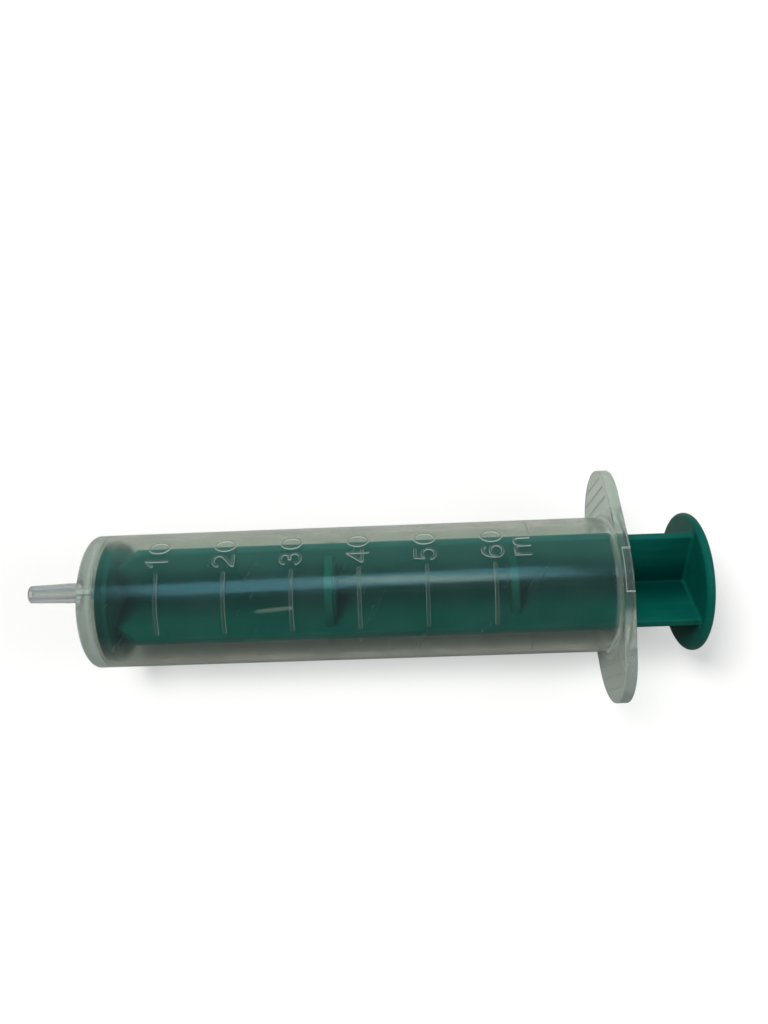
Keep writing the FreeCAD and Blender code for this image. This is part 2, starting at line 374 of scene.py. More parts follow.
class SkinPlace:
    """Where a point of the barrel's skin lies, as values of one shader graph in millimetres."""

    def __init__(self, graph: ShaderGraph, barrel: "Barrel") -> None:
        """Work the values out.

        Args:
            graph: The graph to add to.
            barrel: Gives the places of the nose, the flange and both axes.
        """
        self.graph = graph
        self.spot, self.along, self.across, height = graph.place()
        level = height - barrel.axis_height
        self.turn = graph.math("ARCTAN2", self.across, level)
        self.around = self.turn * barrel.tube.nose_radius
        self.radius = graph.length(graph.vector(0.0, self.across, level))
        self.from_cone = graph.length(graph.vector(0.0, self.across, level - barrel.cone_lift))
        self.from_nose = self.along - barrel.nose_x
        self.from_flange = self.along - (barrel.nose_x + barrel.tube.flange_x)
        self.beside = abs(self.across)

    def noise(self, scales: Shares, detail: float = 2.0) -> Value:
        """Noise with so many waves per millimetre along the tube and round it."""
        spot = self.graph.vector(self.along * scales[0], self.around * scales[1])
        return self.graph.noise(spot, 1.0, detail)


@dataclass(frozen=True)
class SkinMarks:
    """What use and moulding left on the barrel's skin, each from 0 to 1."""

    clouds: Value
    draw_lines: Value
    scratches: Value
    specks: Value
    scuff: Value


@dataclass(frozen=True)
class ClearPlastic:
    """Hazy clear polypropylene, with draw lines, fine scratches, specks and one scuff on its skin.

    A tint is what one wall leaves of the light that passes it. Haze and milk are the colours of the
    light that is scattered back, by the thin tube, the thick parts and the nozzle. Worn says what
    clouds, draw lines and scratches add to the roughness. Scales are in waves per millimetre, along
    the tube and round it. Depths are in millimetres, and so are the ends of the scuff's middle line.
    """

    barrel: "Barrel"
    name: str = "hazy_clear_plastic"
    milkiness: Milkiness = Milkiness()
    regions: BarrelRegions = BarrelRegions()
    tint: Rgb = (0.795, 0.825, 0.765)
    cloud_tint: float = 0.96
    haze: Rgb = (0.46, 0.70, 0.74)
    milk: Rgb = (0.58, 0.64, 0.59)
    nozzle_milk: Rgb = (0.57, 0.55, 0.62)
    lamp_tint: Rgb = (0.86, 0.88, 0.87)
    roughness: float = 0.115
    worn: Shares = (0.05, 0.05, 0.2)
    milk_roughness: float = 0.6
    milk_gloss: float = 0.2
    ior: float = 1.49
    cloud_scale: float = 0.12
    cloud_step: Step = (0.35, 0.7)
    wave_scales: Shares = (0.05, 0.10)
    wave_depth: float = 0.008
    line_scales: Shares = (0.02, 1.6)
    line_depth: float = 0.0003
    line_relief: float = 0.2
    scratch_relief: float = -0.2
    scratch_turn_deg: float = 62.0
    scratch_scales: Shares = (0.08, 0.9)
    scratch_seed: float = 5.0
    scratch_side: Step = (0.004, 0.001)
    patch_squeeze: float = 0.4
    patch_scale: float = 1.3
    patch_seed: float = 12.0
    patch_step: Step = (0.64, 0.70)
    specks: Shares = (0.30, 0.06, 0.20)
    steep_step: Step = (0.93, 0.55)
    scuff_from: Corner = (-25.5, -6.55)
    scuff_to: Corner = (-17.2, -5.90)
    scuff_reach: Stretch = (-25.5, -22.5, -17.6, -16.0)
    scuff_side: Step = (0.58, 0.058)
    scuff_scales: Shares = (0.6, 6.0)
    scuff_step: Step = (0.25, 0.6)
    scuff_color: Rgb = (0.25, 0.21, 0.075)

    def scuff(self, skin: SkinPlace) -> Value:
        """The one long yellowish scuff on the front of the tube.

        Args:
            skin: Where the point lies.

        Returns:
            1 on the scuff and 0 elsewhere, with ragged grain.
        """
        (x0, y0), (x1, y1) = self.scuff_from, self.scuff_to
        middle = (skin.along - x0) * ((y1 - y0) / (x1 - x0)) + y0
        across = abs(skin.around - middle).ramp(*self.scuff_side)
        grain = skin.noise(self.scuff_scales).ramp(*self.scuff_step)
        return across * skin.along.band(self.scuff_reach) * grain

    def scratches(self, skin: SkinPlace) -> Value:
        """Fine scratches that run mostly one way, in sparse patches.

        Args:
            skin: Where the point lies.

        Returns:
            1 on a scratch and 0 elsewhere.
        """
        graph, turn = skin.graph, math.radians(self.scratch_turn_deg)
        cosine, sine = math.cos(turn), math.sin(turn)
        lengthwise = (skin.along * cosine + skin.around * sine) * self.scratch_scales[0]
        crosswise = (skin.around * cosine - skin.along * sine) * self.scratch_scales[1]
        lines = graph.noise(graph.vector(lengthwise, crosswise, self.scratch_seed), 1.0)
        spot = graph.vector(lengthwise, crosswise * self.patch_squeeze, self.patch_seed)
        patches = graph.noise(spot, self.patch_scale).ramp(*self.patch_step)
        return abs(lines - 0.5).ramp(*self.scratch_side) * patches

    def marks(self, skin: SkinPlace) -> SkinMarks:
        """All the marks on the skin.

        Args:
            skin: Where the point lies.

        Returns:
            The marks.
        """
        graph = skin.graph
        return SkinMarks(
            clouds=graph.noise(skin.spot, self.cloud_scale).ramp(*self.cloud_step),
            draw_lines=skin.noise(self.line_scales, detail=3.0),
            scratches=self.scratches(skin),
            specks=graph.specks(skin.spot, *self.specks),
            scuff=self.scuff(skin),
        )

    def steep_sides(self, graph: ShaderGraph) -> Value:
        """Where the skin of a stroke or of the nozzle is steep, which is where their painted highlights lie.

        Args:
            graph: The graph to add to.

        Returns:
            0 where the skin faces straight out from the tube's axis, and 1 on steep sides.
        """
        place = graph.node("ShaderNodeTexCoord").outputs
        parts = graph.node("ShaderNodeSeparateXYZ", {"Vector": place["Object"]}).outputs
        level = Value(graph, parts["Z"]) - self.barrel.axis_height * MM
        outward = graph.vector(0.0, Value(graph, parts["Y"]), level)
        even = graph.node("ShaderNodeVectorMath", {"Vector": outward}, {"operation": "NORMALIZE"})
        facing = graph.node(
            "ShaderNodeVectorMath",
            {"Vector": even.outputs["Vector"], "Vector_001": place["Normal"]},
            {"operation": "DOT_PRODUCT"},
        )
        return Value(graph, facing.outputs["Value"]).ramp(*self.steep_step)

    def pocket_highlight_outline(self, skin: SkinPlace) -> Value:
        """Painted highlight lines that outline the shallow pocket in the flange's rim.

        Args:
            skin: Where the point lies.

        Returns:
            1 on a line and 0 elsewhere.
        """
        regions, turned = self.regions, abs(skin.turn)
        behind = skin.from_flange - regions.pocket_edge
        side = abs(behind).ramp(*regions.pocket_edge_line) * turned.ramp(*regions.pocket_turns)
        end = abs(turned - regions.pocket_turn).ramp(*regions.pocket_turn_line)
        return side.larger(end * behind.ramp(*regions.pocket_ends)) * skin.radius.ramp(*regions.pocket_reach)

    def milky_share(self, skin: SkinPlace, marks: SkinMarks) -> Value:
        """How much milky light the plastic scatters back, with painted highlights along the pocket's edges,
        the nozzle's sides and the strokes' sides.

        Args:
            skin: Where the point lies.
            marks: The marks on the skin.

        Returns:
            The share, from 0 to 1.
        """
        milky, regions = self.milkiness, self.regions
        end_wall = skin.from_nose.band(regions.end_wall)
        rim = skin.from_flange.ramp(*regions.rim)
        wing = skin.from_flange.ramp(*regions.flange) * skin.beside.ramp(*regions.wing)
        root = skin.from_flange.band(regions.flange_root) * skin.radius.band(regions.root_reach)
        nozzle = skin.from_nose.ramp(*regions.nozzle)
        steep = self.steep_sides(skin.graph)
        parts = [
            (marks.clouds, milky.clouds),
            (marks.specks, milky.specks),
            (marks.scratches, milky.scratches),
            (marks.scuff, milky.scuff),
            (end_wall, milky.end_wall),
            (skin.from_nose.band(regions.end_ring), milky.end_ring),
            (skin.from_cone.ramp(*regions.cone_root) * end_wall, milky.cone_root),
            (root, milky.flange_root),
            (wing * (1.0 - rim * milky.wing_rim_loss), milky.wing),
            (rim, milky.rim),
            (rim * skin.beside.band(regions.rim_sides), milky.rim_sides),
            (self.pocket_highlight_outline(skin), milky.pocket_edge_highlight),
            (nozzle, milky.nozzle),
            # Painted highlight along the nozzle's steep sides.
            (nozzle * steep, milky.nozzle_side_highlight),
        ]
        # Painted highlights along the steep sides of the raised strokes.
        if milky.stroke_side_highlight > 0.0:
            parts.append((steep, milky.stroke_side_highlight))
        return sum((mask * weight for mask, weight in parts), milky.everywhere)

    def milky_color(self, skin: SkinPlace, marks: SkinMarks) -> Socket:
        """The colour of the milky light.

        Args:
            skin: Where the point lies.
            marks: The marks on the skin.

        Returns:
            The colour of the tube, the thick parts, the nozzle or the scuff.
        """
        regions, graph = self.regions, skin.graph
        thick = skin.from_nose.band(regions.end_wall).larger(skin.from_flange.ramp(*regions.flange_root[:2]))
        color = graph.mixed_color(thick, self.haze, self.milk)
        color = graph.mixed_color(skin.from_nose.ramp(*regions.nozzle), color, self.nozzle_milk)
        return graph.mixed_color(marks.scuff, color, self.scuff_color)

    def normal(self, skin: SkinPlace, marks: SkinMarks) -> Socket:
        """The skin's fine relief over its long soft waves.

        Args:
            skin: Where the point lies.
            marks: The marks on the skin.

        Returns:
            The normals.
        """
        graph = skin.graph
        waves = skin.noise(self.wave_scales, detail=1.0)
        drawn = skin.from_nose.ramp(*self.regions.drawn) * self.line_relief
        relief = marks.draw_lines * drawn + marks.scratches * self.scratch_relief + marks.specks
        return graph.bump(relief, self.line_depth, graph.bump(waves, self.wave_depth))

    def material(self) -> Material:
        """The whole finish.

        Returns:
            The material.
        """
        material, graph = new_graph(self.name)
        skin = SkinPlace(graph, self.barrel)
        marks = self.marks(skin)
        normal = self.normal(skin, marks)
        cloudy_tint = tuple(level * self.cloud_tint for level in self.tint)
        cloudy, drawn, scratched = self.worn
        worn = marks.clouds * cloudy + marks.draw_lines * drawn + marks.scratches * scratched
        clear = graph.principled(
            {
                "Base Color": graph.mixed_color(marks.clouds, self.tint, cloudy_tint),
                "Roughness": worn + self.roughness,
                "Normal": normal,
                "IOR": self.ior,
                "Transmission Weight": 1.0,
            }
        )
        milk = graph.principled(
            {
                "Base Color": self.milky_color(skin, marks),
                "Roughness": self.milk_roughness,
                "Normal": normal,
                "Specular IOR Level": self.milk_gloss,
            }
        )
        body = graph.mixed_shader(self.milky_share(skin, marks), clear, milk)
        for_lamps = graph.node("ShaderNodeBsdfTransparent", {"Color": graph.opaque(self.lamp_tint)})
        lamp_ray = graph.node("ShaderNodeLightPath").outputs["Is Shadow Ray"]
        graph.show(graph.mixed_shader(lamp_ray, body, for_lamps.outputs["BSDF"]))
        return material


@dataclass(frozen=True)
class GreenPlastic:
    """Opaque green polypropylene with a fine moulded skin.

    Places and reaches are in millimetres, and a reach is counted from the axis. The corner shade and
    lip colour is painted shade in the corners between the ribs, and it also darkens the lip. Paling
    says how much the worn and lit edge colour shows on clouds, flow lines and specks, and, as painted
    light, on the thin outer edges of the ribs and webs. Rough and relief are the shares of the grain
    and the flow lines.
    """

    lip_x: float
    disc_x: float
    axis_height: float
    color: Rgb = (0.0, 0.068, 0.052)
    worn_and_lit_edge_color: Rgb = (0.006, 0.105, 0.085)
    corner_shade_and_lip_color: Rgb = (0.0, 0.034, 0.028)
    paling: Shares = (0.30, 0.25, 0.8, 0.15)
    roughness: float = 0.38
    rough: Shares = (0.10, 0.08)
    relief: Shares = (0.5, 0.8)
    gloss: float = 0.10
    cloud_scale: float = 0.15
    cloud_step: Step = (0.3, 0.7)
    flow_scales: Shares = (0.06, 0.8)
    flow_step: Step = (0.35, 0.75)
    grain_scale: float = 6.0
    grain_depth: float = 0.012
    specks: Shares = (0.45, 0.07, 0.25)
    shade_corner_reach: Step = (10.0, 2.5)
    # Painted light: the thin outer edges of the ribs and webs are made lighter.
    lit_edge_reach: Step = (11.0, 14.5)
    lip_reach: Step = (13.0, 13.6)
    lip_land: float = 1.45
    lip_fade: float = 0.1
    disc_fade: float = 0.8

    def material(self) -> Material:
        """The whole finish.

        Returns:
            The material.
        """
        material, graph = new_graph("moulded_green_plastic")
        place, along, across, height = graph.place()
        clouds = graph.noise(place, self.cloud_scale).ramp(*self.cloud_step)
        lengthwise, crosswise = self.flow_scales
        drawn_out = graph.vector(along * lengthwise, across * crosswise, height * crosswise)
        flow = graph.noise(drawn_out, 1.0, detail=3.0)
        grain = graph.noise(place, self.grain_scale, detail=3.0)
        specks = graph.specks(place, *self.specks)
        radius = graph.length(graph.vector(0.0, across, height - self.axis_height))
        # The last mask is painted light on the thin outer edges; the others are real wear and tone.
        showing = (clouds, flow.ramp(*self.flow_step), specks, radius.ramp(*self.lit_edge_reach))
        wear_and_edge_light = sum((mask * share for mask, share in zip(showing, self.paling)), 0.0)
        # The lip band takes the darker colour, and so do the corners between the ribs as painted shade.
        lip_end = self.lip_x + self.lip_land
        lip = along.ramp(lip_end + self.lip_fade, lip_end) * radius.ramp(*self.lip_reach)
        rib_corner_shade = radius.ramp(*self.shade_corner_reach) * along.ramp(self.disc_x, self.disc_x - self.disc_fade)
        skin = graph.mixed_color(wear_and_edge_light, self.color, self.worn_and_lit_edge_color)
        shader = graph.principled(
            {
                "Base Color": graph.mixed_color(rib_corner_shade.larger(lip), skin, self.corner_shade_and_lip_color),
                "Roughness": (grain - 0.5) * self.rough[0] + (flow - 0.5) * self.rough[1] + self.roughness,
                "Normal": graph.bump(grain * self.relief[0] + flow * self.relief[1], self.grain_depth),
                "Specular IOR Level": self.gloss,
            }
        )
        graph.show(shader)
        return material


@dataclass(frozen=True)
class PaleFloor:
    """A plain pale table top that keeps a soft shadow.

    The mirrored colour is also seen through the plastic, and the shaded one takes its place under
    the tube's near side. Shade says where that begins and is full, across the syringe, and fade
    where white takes over, from the syringe. Glow is how much white lies over the plain colour.
    """

    color: Rgb = (0.90, 0.90, 0.89)
    mirrored_color: Rgb = (0.56, 0.57, 0.54)
    shaded_color: Rgb = (0.33, 0.34, 0.315)
    glow: float = 0.45
    shade: Step = (-8.3, -12.7)
    fade: Step = (180.0, 650.0)

    def material(self) -> Material:
        """The whole finish.

        Returns:
            The material.
        """
        material, graph = new_graph("pale_table")
        place, _, across, _ = graph.place()
        mirrored = graph.mixed_color(across.ramp(*self.shade), self.mirrored_color, self.shaded_color)
        pale, dim = (
            graph.node("ShaderNodeBsdfDiffuse", {"Color": color, "Roughness": 1.0}).outputs["BSDF"]
            for color in (graph.opaque(self.color), mirrored)
        )
        bright = graph.node("ShaderNodeEmission", {"Color": (1.0, 1.0, 1.0, 1.0)}).outputs["Emission"]
        straight = Value(graph, graph.node("ShaderNodeLightPath").outputs["Is Camera Ray"])
        white = graph.length(place).ramp(*self.fade).larger(self.glow)
        graph.show(graph.mixed_shader(straight, dim, graph.mixed_shader(white, pale, bright)))
        return material


def seen_ray(graph: ShaderGraph) -> Value:
    """Tell the rays that show the background from those that only carry light.

    Args:
        graph: The graph to add to.

    Returns:
        1 for a ray that shows it straight, mirrored or through glass, and 0 for others.
    """
    paths = graph.node("ShaderNodeLightPath").outputs
    straight = Value(graph, paths["Is Camera Ray"])
    mirrored = Value(graph, paths["Is Glossy Ray"])
    through = Value(graph, paths["Is Transmission Ray"])
    return graph.math("MINIMUM", straight + mirrored + through, 1.0)


# Meshes

def bridge(first: int, second: int, wide: int) -> list[Face]:
    """The faces between two closed loops of so many corners, by the numbers of their first ones."""
    steps = [(step, (step + 1) % wide) for step in range(wide)]
    return [(first + here, first + ahead, second + ahead, second + here) for here, ahead in steps]


def skinned(loops: Sequence[Sequence[Vector]]) -> tuple[list[Vector], list[Face]]:
    """Skin the space between closed loops, the last of which meets the first.

    Args:
        loops: The loops, each with as many corners.

    Returns:
        All corners, and the faces between neighbouring loops.
    """
    wide, faces = len(loops[0]), []
    for number in range(len(loops)):
        faces += bridge(number * wide, (number + 1) % len(loops) * wide, wide)
    return [point for loop in loops for point in loop], faces


def add_piece(
    name: str, points: Sequence[Vector], faces: Sequence[Face], sharp_deg: float
) -> Piece:
    """Make a closed mesh object with even outward normals.

    Args:
        name: The object's name.
        points: Corners, in metres.
        faces: Corner numbers of each face.
        sharp_deg: Edges that turn by more than this stay sharp.

    Returns:
        The object, linked to the scene.
    """
    mesh = bpy.data.meshes.new(name)
    mesh.from_pydata(points, [], faces)
    working = bmesh.new()
    working.from_mesh(mesh)
    bmesh.ops.recalc_face_normals(working, faces=working.faces)
    working.to_mesh(mesh)
    working.free()
    mesh.shade_smooth()
    mesh.set_sharp_from_angle(angle=math.radians(sharp_deg))
    piece = bpy.data.objects.new(name, mesh)
    bpy.context.scene.collection.objects.link(piece)
    even = piece.modifiers.new("even_normals", "WEIGHTED_NORMAL")
    even.keep_sharp = True
    return piece


def dress(piece: Piece, material: Material, body: Body, slot: Slot) -> None:
    """Give a piece its material and its body, and report it.

    Args:
        piece: The object.
        material: Its only material.
        body: The body that it rides on.
        slot: The plastic that it is made of. It is not used.
    """
    piece.data.materials.clear()
    piece.data.materials.append(material)
    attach(piece, body.value)
    LOG.info("%s: %d faces, rides on %s", piece.name, len(piece.data.polygons), body.value)


@dataclass(frozen=True)
class Ring:
    """One loop of the barrel's skin.

    Attributes:
        x: Place along the axis, from the nose.
        radius: The loop's radius where it is round.
        lift: How far its centre lies over the axis.
        spread: 0 for a round loop, 1 for the outline of the finger flange.
        inset: How far a spread loop lies inside that outline.
        pocket: The share of the rim pocket's depth that is taken off.
    """

    x: float
    radius: float
    lift: float = 0.0
    spread: float = 0.0
    inset: float = 0.0
    pocket: float = 0.0


def arc_corners(centre: Corner, size: float, first_deg: float, last_deg: float, steps: int) -> list[Corner]:
    """Corners along a round of an outline.

    Args:
        centre: The round's centre.
        size: Its radius.
        first_deg: Angle of the first corner, counted from the outline's first axis.
        last_deg: Angle of the last corner.
        steps: How many stretches lie between them.

    Returns:
        The corners in order.
    """
    corners = []
    for step in range(steps + 1):
        angle = math.radians(first_deg + (last_deg - first_deg) * step / steps)
        corners.append((centre[0] + size * math.cos(angle), centre[1] + size * math.sin(angle)))
    return corners


# Barrel

@dataclass
class Tube:
    """The sizes of the straight part of the barrel, which the scale is laid on."""

    nose_radius: float = 15.75
    root_radius: float = 15.90
    flange_x: float = 120.8375

    def radius_at(self, x: float) -> float:
        """The outside radius at a place along the axis."""
        return self.nose_radius + (self.root_radius - self.nose_radius) * x / self.flange_x


@dataclass
class Barrel:
    """The clear moulding: nozzle, end wall, tube with its stop bead, and finger flange."""

    box: tuple[Vector, Vector]
    tube: Tube = field(default_factory=Tube)
    bore_radius: float = 14.5
    end_wall: float = 3.2
    nose_round: float = 0.8
    bore_round: float = 0.35
    cone_tip_radius: float = 1.975
    cone_wide_radius: float = 2.218
    cone_base_radius: float = 2.268
    cone_base_length: float = 3.65
    cone_root_round: float = 0.6
    cone_edge_round: float = 0.2
    cone_bore_radius: float = 0.9
    cone_lift: float = 11.4
    nozzle_length: float = 11.75
    bead_x: float = 102.3375
    bead_height: float = 0.06
    bead_half_width: float = 0.4
    mouth_chamfer: float = 0.5
    mouth_gap: float = 0.05
    mouth_step: float = 0.03
    root_round: float = 1.0
    flange_thickness: float = 2.7
    rim_round: float = 0.3
    tip_radius: float = 12.4
    tip_offset: float = 15.4
    pocket_length: float = 10.0
    pocket_depth: float = 0.4
    pocket_front: float = 0.7
    pocket_step: float = 0.06
    beside_rounds: float = 0.3
    nose_shares: Shares = (0.03, 0.15, 0.4, 0.7, 0.93)
    flange_shares: Shares = (0.05, 0.25, 0.5, 0.75, 0.93)
    back_shares: Shares = (0.93, 0.6, 0.3, 0.06, 0.0)
    end_shares: Shares = (0.05, 0.3, 0.6, 0.85, 0.97)
    pocket_end_turns: tuple[float, ...] = (-0.5, -0.14, 0.14, 0.5)
    turn_steps: int = 192
    round_steps: int = 5
    tube_steps: int = 24
    bore_steps: int = 16
    bead_steps: int = 8

    def __post_init__(self) -> None:
        """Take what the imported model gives: the flange's half height and the nose's place."""
        low, high = self.box
        self.flange_radius = (high.z - low.z) / 2.0 / MM
        self.axis_height = (high.z + low.z) / 2.0 / MM
        self.nose_x = low.x / MM + self.nozzle_length
        self.end_x = self.tube.flange_x + self.flange_thickness

    def flange_reach(self, angle: float) -> float:
        """The flange's half width in one direction.

        Args:
            angle: The direction round the axis from straight up, in radians.

        Returns:
            The distance from the axis to the rim.
        """
        from_wing = math.asin(min(1.0, abs(math.cos(angle))))
        lean = math.asin((self.flange_radius - self.tip_radius) / self.tip_offset)
        leaves_tip = math.atan2(
            self.tip_radius * math.cos(lean), self.tip_offset + self.tip_radius * math.sin(lean)
        )
        meets_middle = math.pi / 2.0 - lean
        if from_wing >= meets_middle:
            return self.flange_radius
        if from_wing >= leaves_tip:
            return self.flange_radius / math.cos(meets_middle - from_wing)
        side = self.tip_offset * math.sin(from_wing)
        return self.tip_offset * math.cos(from_wing) + math.sqrt(self.tip_radius ** 2 - side ** 2)

    def nozzle_rings(self) -> list[Ring]:
        """The rings from the fluid bore's inner end out to the root of the cone.

        Returns:
            The rings in order.
        """
        tip_x = -self.nozzle_length
        edge = self.cone_edge_round
        shoulder_x = -self.cone_base_length
        corners = [(self.end_wall, self.cone_bore_radius), (self.end_wall - edge, self.cone_bore_radius)]
        corners += [(0.0, self.cone_bore_radius), (tip_x + edge, self.cone_bore_radius)]
        corners += [(tip_x + edge / 2.0, self.cone_bore_radius), (tip_x, self.cone_bore_radius + edge / 2.0)]
        corners += arc_corners(
            (tip_x + edge, self.cone_tip_radius - edge), edge, 180.0, 90.0, self.round_steps
        )
        corners += [(shoulder_x - edge, self.cone_wide_radius), (shoulder_x, self.cone_wide_radius)]
        corners += [(shoulder_x + edge / share, self.cone_base_radius) for share in (4.0, 1.0)]
        hollow = (-self.cone_root_round, self.cone_base_radius + self.cone_root_round)
        corners += [(hollow[0] - edge, self.cone_base_radius)]
        corners += arc_corners(hollow, self.cone_root_round, -90.0, 0.0, self.round_steps)
        return [Ring(x, radius, self.cone_lift) for x, radius in corners]

    def nose_rings(self) -> list[Ring]:
        """The rings across the front face, from the root of the cone to the tube.

        Returns:
            The rings in order.
        """
        inner = self.cone_base_radius + self.cone_root_round
        outer = self.tube.nose_radius - self.nose_round
        rings = []
        for share in self.nose_shares:
            rings.append(Ring(0.0, inner + (outer - inner) * share, self.cone_lift * (1.0 - share)))
        rings += [
            Ring(x, radius)
            for x, radius in arc_corners(
                (self.nose_round, outer), self.nose_round, 180.0, 90.0, self.round_steps
            )
        ]
        return rings

    def tube_rings(self) -> list[Ring]:
        """The rings along the outside of the tube and up the round at the flange's root.

        Returns:
            The rings in order.
        """
        first = self.nose_round + self.beside_rounds
        last = self.tube.flange_x - self.root_round - self.beside_rounds
        rings = []
        for step in range(self.tube_steps + 1):
            x = first + (last - first) * step / self.tube_steps
            rings.append(Ring(x, self.tube.radius_at(x)))
        hollow = (self.tube.flange_x - self.root_round, self.tube.root_radius + self.root_round)
        rings += [Ring(x, r) for x, r in arc_corners(hollow, self.root_round, -90.0, 0.0, self.round_steps)]
        return rings

    def flange_rings(self) -> list[Ring]:
        """The rings over the front of the flange, round its rim and down its back to the mouth.

        Returns:
            The rings in order.
        """
        front_x, back_x, edge = self.tube.flange_x, self.end_x, self.rim_round
        root = self.tube.root_radius + self.root_round
        mouth = self.bore_radius + self.mouth_chamfer
        rings = [Ring(front_x, root, spread=share, inset=edge) for share in self.flange_shares]
        for x, inward in arc_corners((front_x + edge, edge), edge, 180.0, 270.0, self.round_steps):
            rings.append(Ring(x, root, spread=1.0, inset=inward))
        step_x = front_x + self.pocket_front
        rings.append(Ring(step_x, root, spread=1.0))
        rings.append(Ring(step_x + self.pocket_step, root, spread=1.0, pocket=1.0))
        rings.append(Ring((step_x + back_x) / 2.0, root, spread=1.0, pocket=1.0))
        for x, inward in arc_corners((back_x - edge, edge), edge, -90.0, 0.0, self.round_steps):
            rings.append(Ring(x, root, spread=1.0, inset=inward, pocket=1.0))
        for share in self.back_shares:
            pocket = float(share > 0.8)
            rings.append(Ring(back_x, mouth + self.mouth_gap, spread=share, inset=edge, pocket=pocket))
        return rings

    def bore_rings(self) -> list[Ring]:
        """The rings back along the bore, over the stop bead, and across the inside of the end wall.

        Returns:
            The rings in order.
        """
        back_x, radius = self.end_x, self.bore_radius
        corners = [(back_x - self.mouth_step, radius + self.mouth_chamfer - self.mouth_step)]
        inside = back_x - self.mouth_chamfer
        corners += [(inside, radius), (inside - self.beside_rounds, radius)]
        corners += [((self.bead_x + back_x) / 2.0, radius)]
        for step in range(self.bead_steps + 1):
            share = 1.0 - 2.0 * step / self.bead_steps
            rise = self.bead_height * math.cos(share * math.pi / 2.0) ** 2
            corners.append((self.bead_x + share * self.bead_half_width, radius - rise))
        for step in range(1, self.bore_steps):
            corners.append((self.bead_x - (self.bead_x - self.end_wall) * step / self.bore_steps, radius))
        inner = radius - self.bore_round
        corners += arc_corners(
            (self.end_wall + self.bore_round, inner), self.bore_round, 90.0, 180.0, self.round_steps
        )
        rings = [Ring(x, r) for x, r in corners]
        for share in self.end_shares:
            reach = inner + (self.cone_bore_radius - inner) * share
            rings.append(Ring(self.end_wall, reach, self.cone_lift * share))
        return rings

    def angles(self) -> list[float]:
        """The directions round the axis that every ring has a corner in.

        Returns:
            The angles in order, in radians, with closer ones at the ends of the pocket.
        """
        half = self.pocket_length / 2.0 / self.flange_radius
        found = {FULL_TURN * step / self.turn_steps for step in range(self.turn_steps)}
        for side in (-1.0, 1.0):
            for offset in self.pocket_end_turns:
                found.add((side * math.degrees(half) + offset) % FULL_TURN)
        return [math.radians(angle) for angle in sorted(found)]

    def ring_point(self, ring: Ring, angle: float) -> Vector:
        """One corner of a ring, in metres.

        Args:
            ring: The ring.
            angle: The direction round the axis, in radians.

        Returns:
            The corner.
        """
        reach = ring.radius
        if ring.spread > 0.0:
            rim = self.flange_reach(angle) - ring.inset
            reach = ring.radius + (rim - ring.radius) * ring.spread
        half = self.pocket_length / 2.0 / self.flange_radius
        turned = (angle + math.pi) % (2.0 * math.pi) - math.pi
        if abs(turned) < half:
            reach -= ring.pocket * self.pocket_depth
        return self.round_axis(ring.x, reach, angle, ring.lift)

    def round_axis(self, x: float, reach: float, angle: float, lift: float = 0.0) -> Vector:
        """A point in metres, by its place along the axis, its distance from it and its angle."""
        level = self.axis_height + lift + reach * math.cos(angle)
        return Vector((self.nose_x + x, reach * math.sin(angle), level)) * MM

    def build(self, material: Material) -> Piece:
        """Loft the whole skin and dress it.

        Args:
            material: The clear plastic.

        Returns:
            The piece that stands for the barrel.
        """
        rings = self.nozzle_rings() + self.nose_rings() + self.tube_rings()
        rings += self.flange_rings() + self.bore_rings()
        loops = [[self.ring_point(ring, angle) for angle in self.angles()] for ring in rings]
        piece = add_piece("barrel_shell", *skinned(loops), sharp_deg=35.0)
        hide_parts("barrel")
        dress(piece, material, Body.BARREL, Slot.CLEAR)
        return piece

    def on_tube(self, x: float, arc: float, height: float) -> Vector:
        """A point over the tube's skin in metres, by its x, its arc from straight up and its height."""
        radius = self.tube.radius_at(x)
        return self.round_axis(x, radius + height, arc / radius)

    def on_flange_front(self, across: float, up: float, height: float) -> Vector:
        """A point over the front face of the flange, in metres."""
        return Vector((self.nose_x + self.tube.flange_x - height, across, self.axis_height + up)) * MM


# Raised strokes

@dataclass
class Stroke:
    """One raised line of a moulding, swept along a path on a surface.

    Attributes:
        path: The places that its middle runs through, on the surface.
        closed: True where the path ends at its beginning.
    """

    path: list[Corner]
    closed: bool = False

    def directions(self) -> list[Vector]:
        """The way that the path runs at each of its places.

        Returns:
            The ways, each of length 1.
        """
        count = len(self.path)
        ways = []
        for number in range(count):
            if self.closed:
                before, after = self.path[number - 1], self.path[(number + 1) % count]
            else:
                before, after = self.path[max(number - 1, 0)], self.path[min(number + 1, count - 1)]
            ways.append((Vector(after) - Vector(before)).normalized())
        return ways


